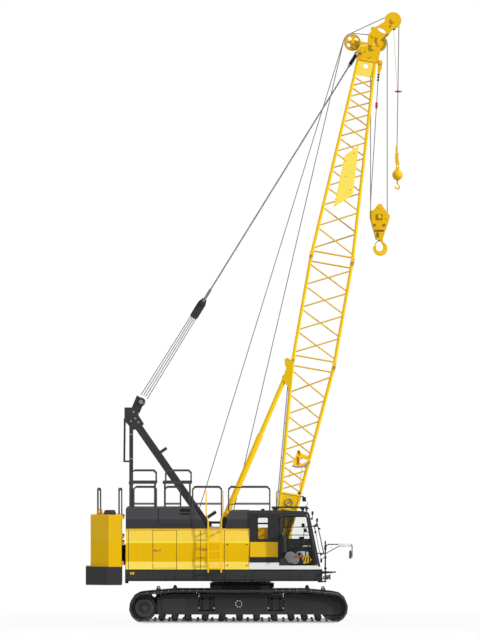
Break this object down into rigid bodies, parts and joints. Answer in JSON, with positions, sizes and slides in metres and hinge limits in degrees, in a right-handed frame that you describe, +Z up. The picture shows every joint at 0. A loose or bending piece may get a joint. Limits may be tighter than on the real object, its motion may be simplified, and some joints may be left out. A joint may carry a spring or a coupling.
{
  "type": "crawler crane",
  "caption": "Crawler crane with a lattice boom, luffing gantry, stay ropes, backstops, operator's cab, slewing upper works, counterweight, tracks, main hook block and ball hook.",
  "frame": {"origin": "on the ground under the slewing axis", "axes": "+X forward, the way the boom leans; +Y to the machine's left; +Z up"},
  "size_m": [9.124, 5.05, 17.5555],
  "materials": {
    "shoe_steel": "worn dark steel",
    "undercarriage_paint": "satin slate paint",
    "roller_steel": "machined steel",
    "grey_paint": "satin dark grey paint",
    "yellow_paint": "gloss yellow paint",
    "boom_paint": "gloss yellow paint",
    "rail_paint": "satin dark paint",
    "cab_paint": "satin dark paint",
    "window_glass": "clear glass with a faint grey tint",
    "seat_plastic": "matte",
    "wire_rope": "greased wire"
  },
  "bodies": {
    "undercarriage": {"track_right": "shoe_steel", "track_left": "shoe_steel", "side_frame_right": "undercarriage_paint", "side_frame_left": "undercarriage_paint", "track_rollers_right": "roller_steel", "track_rollers_left": "roller_steel", "drive_sprocket_right": "undercarriage_paint", "drive_sprocket_left": "undercarriage_paint", "idler_right": "undercarriage_paint", "idler_left": "undercarriage_paint", "carbody": "undercarriage_paint"},
    "upper": {"deck": "grey_paint", "side_housing_right": "yellow_paint", "side_housing_left": "yellow_paint", "engine_block": "grey_paint", "rear_hoods": "grey_paint", "front_covers": "grey_paint", "counterweight_base": "grey_paint", "counterweight_lower": "yellow_paint", "counterweight_upper": "yellow_paint", "gantry": "grey_paint", "gantry_pulleys": "roller_steel", "winch_drums": "grey_paint", "side_ladder": "yellow_paint", "handrails": "rail_paint", "cab_floor": "grey_paint", "cab_rear_shell": "cab_paint", "cab_inner_wall": "cab_paint", "cab_roof": "cab_paint", "cab_front_frame": "cab_paint", "cab_glass": "window_glass", "operator_seat": "seat_plastic", "cab_console": "seat_plastic", "mirror_frame": "rail_paint"},
    "housing_door": {"housing_door": "yellow_paint"},
    "cab_door": {"cab_door": "cab_paint", "door_glass": "window_glass"},
    "boom": {"boom_base": "boom_paint", "boom_insert": "boom_paint", "boom_top": "boom_paint", "boom_head": "boom_paint", "head_pulleys": "roller_steel"},
    "stay": {"falls_bridle": "wire_rope", "bridle": "grey_paint", "pendants": "wire_rope"},
    "falls_gantry": {"falls_gantry": "wire_rope"},
    "falls_middle": {"falls_middle": "wire_rope"},
    "hoist_line_rear": {"hoist_line_rear": "wire_rope"},
    "hoist_line_front": {"hoist_line_front": "wire_rope"},
    "hoist_tail_rear": {"hoist_tail_rear": "wire_rope"},
    "hoist_tail_front": {"hoist_tail_front": "wire_rope"},
    "backstop_tubes": {"backstop_tubes": "boom_paint"},
    "backstop_rods": {"backstop_rods": "roller_steel"},
    "main_hook": {"main_falls": "wire_rope", "hook_block": "boom_paint"},
    "aux_hook": {"aux_rope": "wire_rope", "aux_ball": "boom_paint"}
  },
  "joints": [
    {"name": "slew", "type": "hinge", "parent": "undercarriage", "child": "upper", "pos_m": [0, 0, 1.155], "axis": [0, 0, 1], "continuous": true},
    {"name": "boom_luff", "type": "hinge", "parent": "upper", "child": "boom", "pos_m": [1.063, 0, 1.7], "axis": [0, 1, 0], "range_deg": [0, 50]},
    {"name": "housing_door_swing", "type": "hinge", "parent": "upper", "child": "housing_door", "pos_m": [-1.862, -1.6, 2.1], "axis": [0, 0, 1], "range_deg": [0, 100]},
    {"name": "cab_door_swing", "type": "hinge", "parent": "upper", "child": "cab_door", "pos_m": [1.1, -1.603, 2.38], "axis": [0, 0, -1], "range_deg": [0, 85]},
    {"name": "stay_turn", "type": "hinge", "parent": "boom", "child": "stay", "pos_m": [3.32104, 0, 16.35453], "axis": [0, 1, 0], "range_deg": [-2.26, 0]},
    {"name": "falls_turn", "type": "hinge", "parent": "upper", "child": "falls_gantry", "pos_m": [-2.89, 0, 6.33], "axis": [0, 1, 0], "range_deg": [0, 47.84]},
    {"name": "falls_reach", "type": "slide", "parent": "falls_gantry", "child": "falls_middle", "axis": [0.5267, 0, 0.8501], "range_m": [0, 2.5605]},
    {"name": "hoist_rear_turn", "type": "hinge", "parent": "boom", "child": "hoist_line_rear", "pos_m": [3.2023, 0, 16.68314], "axis": [0, 1, 0], "range_deg": [-3.87, 0]},
    {"name": "hoist_front_turn", "type": "hinge", "parent": "boom", "child": "hoist_line_front", "pos_m": [3.2023, 0, 16.68314], "axis": [0, 1, 0], "range_deg": [-1.64, 0]},
    {"name": "tail_rear_turn", "type": "hinge", "parent": "upper", "child": "hoist_tail_rear", "pos_m": [-1.293, 0, 2.02], "axis": [0, 1, 0], "range_deg": [0, 46.23]},
    {"name": "tail_front_turn", "type": "hinge", "parent": "upper", "child": "hoist_tail_front", "pos_m": [-0.207, 0, 2.03], "axis": [0, 1, 0], "range_deg": [0, 48.47]},
    {"name": "backstop_turn", "type": "hinge", "parent": "upper", "child": "backstop_tubes", "pos_m": [-0.492, 0, 2.95], "axis": [0, 1, 0], "range_deg": [0, 47.46]},
    {"name": "backstop_reach", "type": "slide", "parent": "backstop_tubes", "child": "backstop_rods", "axis": [0.3944, 0, 0.9189], "range_m": [0, 1.6718]},
    {"name": "main_hook_hang", "type": "hinge", "parent": "boom", "child": "main_hook", "pos_m": [3.96325, 0, 16.63934], "axis": [0, 1, 0], "range_deg": [-50.05, 0]},
    {"name": "aux_hook_hang", "type": "hinge", "parent": "boom", "child": "aux_hook", "pos_m": [4.3668, 0, 17.31554], "axis": [0, 1, 0], "range_deg": [-50.05, 0]}
  ],
  "couplings": [
    {"joint": "stay_turn", "follows": "boom_luff", "ratio": -0.04415},
    {"joint": "falls_turn", "follows": "boom_luff", "ratio": 0.95585},
    {"joint": "falls_reach", "follows": "boom_luff", "m_per_rad": 2.9318},
    {"joint": "hoist_rear_turn", "follows": "boom_luff", "ratio": -0.07644},
    {"joint": "hoist_front_turn", "follows": "boom_luff", "ratio": -0.0317},
    {"joint": "tail_rear_turn", "follows": "boom_luff", "ratio": 0.92356},
    {"joint": "tail_front_turn", "follows": "boom_luff", "ratio": 0.9683},
    {"joint": "backstop_turn", "follows": "boom_luff", "ratio": 0.94813},
    {"joint": "backstop_reach", "follows": "boom_luff", "m_per_rad": 1.9134},
    {"joint": "main_hook_hang", "follows": "boom_luff", "ratio": -1},
    {"joint": "aux_hook_hang", "follows": "boom_luff", "ratio": -1}
  ]
}
